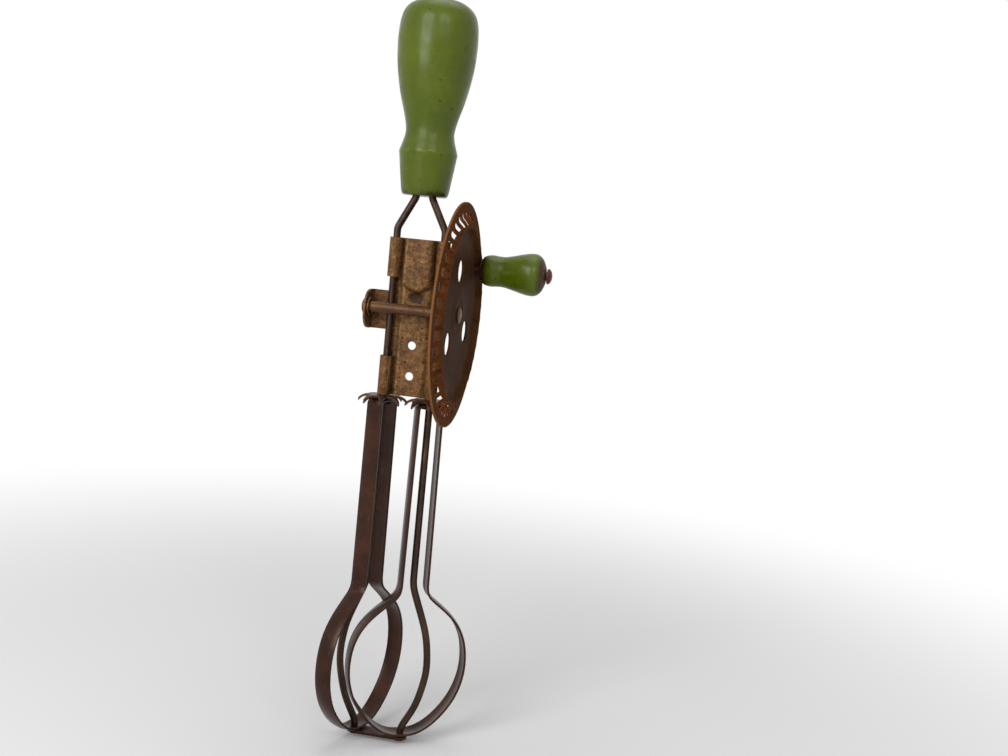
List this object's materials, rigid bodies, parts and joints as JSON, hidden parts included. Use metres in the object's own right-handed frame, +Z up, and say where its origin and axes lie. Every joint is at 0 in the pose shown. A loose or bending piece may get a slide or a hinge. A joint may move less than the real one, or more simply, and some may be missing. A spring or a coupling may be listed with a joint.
{
  "type": "rotary egg beater",
  "caption": "Hand cranked rotary egg beater: a knob turns a windowed crown wheel that drives two interleaved loop dashers below a wooden handle.",
  "frame": {"origin": "on the handle's axis, at the middle of the grip between its crown and its collar", "axes": "+Z up along the handle, +X towards the crank knob and along the drive axle, -Y towards the viewer of the picture, the side the axle is on"},
  "size_m": [0.0719, 0.087, 0.2945],
  "materials": {
    "green_paint": "worn gloss paint on turned wood",
    "knob_paint": "worn gloss paint on turned wood",
    "rusty_plate": "speckled brown rust",
    "rusty_wheel": "dark brown patina with orange rust at the windows",
    "dasher_steel": "dark brown patina, half glossy",
    "dark_rod": "dark grey brown patina",
    "rivet_steel": "brown patina"
  },
  "bodies": {
    "frame": {"handle": "green_paint", "left_rod": "dark_rod", "right_rod": "dark_rod", "gear_plate": "rusty_plate", "bottom_strap": "dasher_steel"},
    "drive_wheel": {"drive_wheel": "rusty_wheel", "drive_axle": "rivet_steel", "axle_washer": "rivet_steel", "wheel_collar": "rivet_steel", "knob_stud": "rivet_steel", "knob_washer": "rivet_steel"},
    "crank_knob": {"crank_knob": "knob_paint"},
    "right_dasher": {"right_pinion": "rusty_wheel", "right_eyelet": "dasher_steel", "right_dasher": "dasher_steel"},
    "left_dasher": {"left_pinion": "rusty_wheel", "left_eyelet": "dasher_steel", "left_dasher": "dasher_steel"}
  },
  "joints": [
    {"name": "crank_spin", "type": "hinge", "parent": "frame", "child": "drive_wheel", "pos_m": [0, -0.0043, -0.075], "axis": [1, 0, 0], "continuous": true},
    {"name": "knob_spin", "type": "hinge", "parent": "drive_wheel", "child": "crank_knob", "pos_m": [0.035, 0.02134, -0.05705], "axis": [1, 0, 0], "continuous": true},
    {"name": "right_dasher_spin", "type": "hinge", "parent": "frame", "child": "right_dasher", "pos_m": [0.0096, 0, -0.15], "axis": [0, 0, 1], "continuous": true},
    {"name": "left_dasher_spin", "type": "hinge", "parent": "frame", "child": "left_dasher", "pos_m": [-0.0096, 0, -0.15], "axis": [0, 0, 1], "continuous": true}
  ],
  "couplings": [
    {"joint": "right_dasher_spin", "follows": "crank_spin", "ratio": 5},
    {"joint": "left_dasher_spin", "follows": "crank_spin", "ratio": -5}
  ]
}
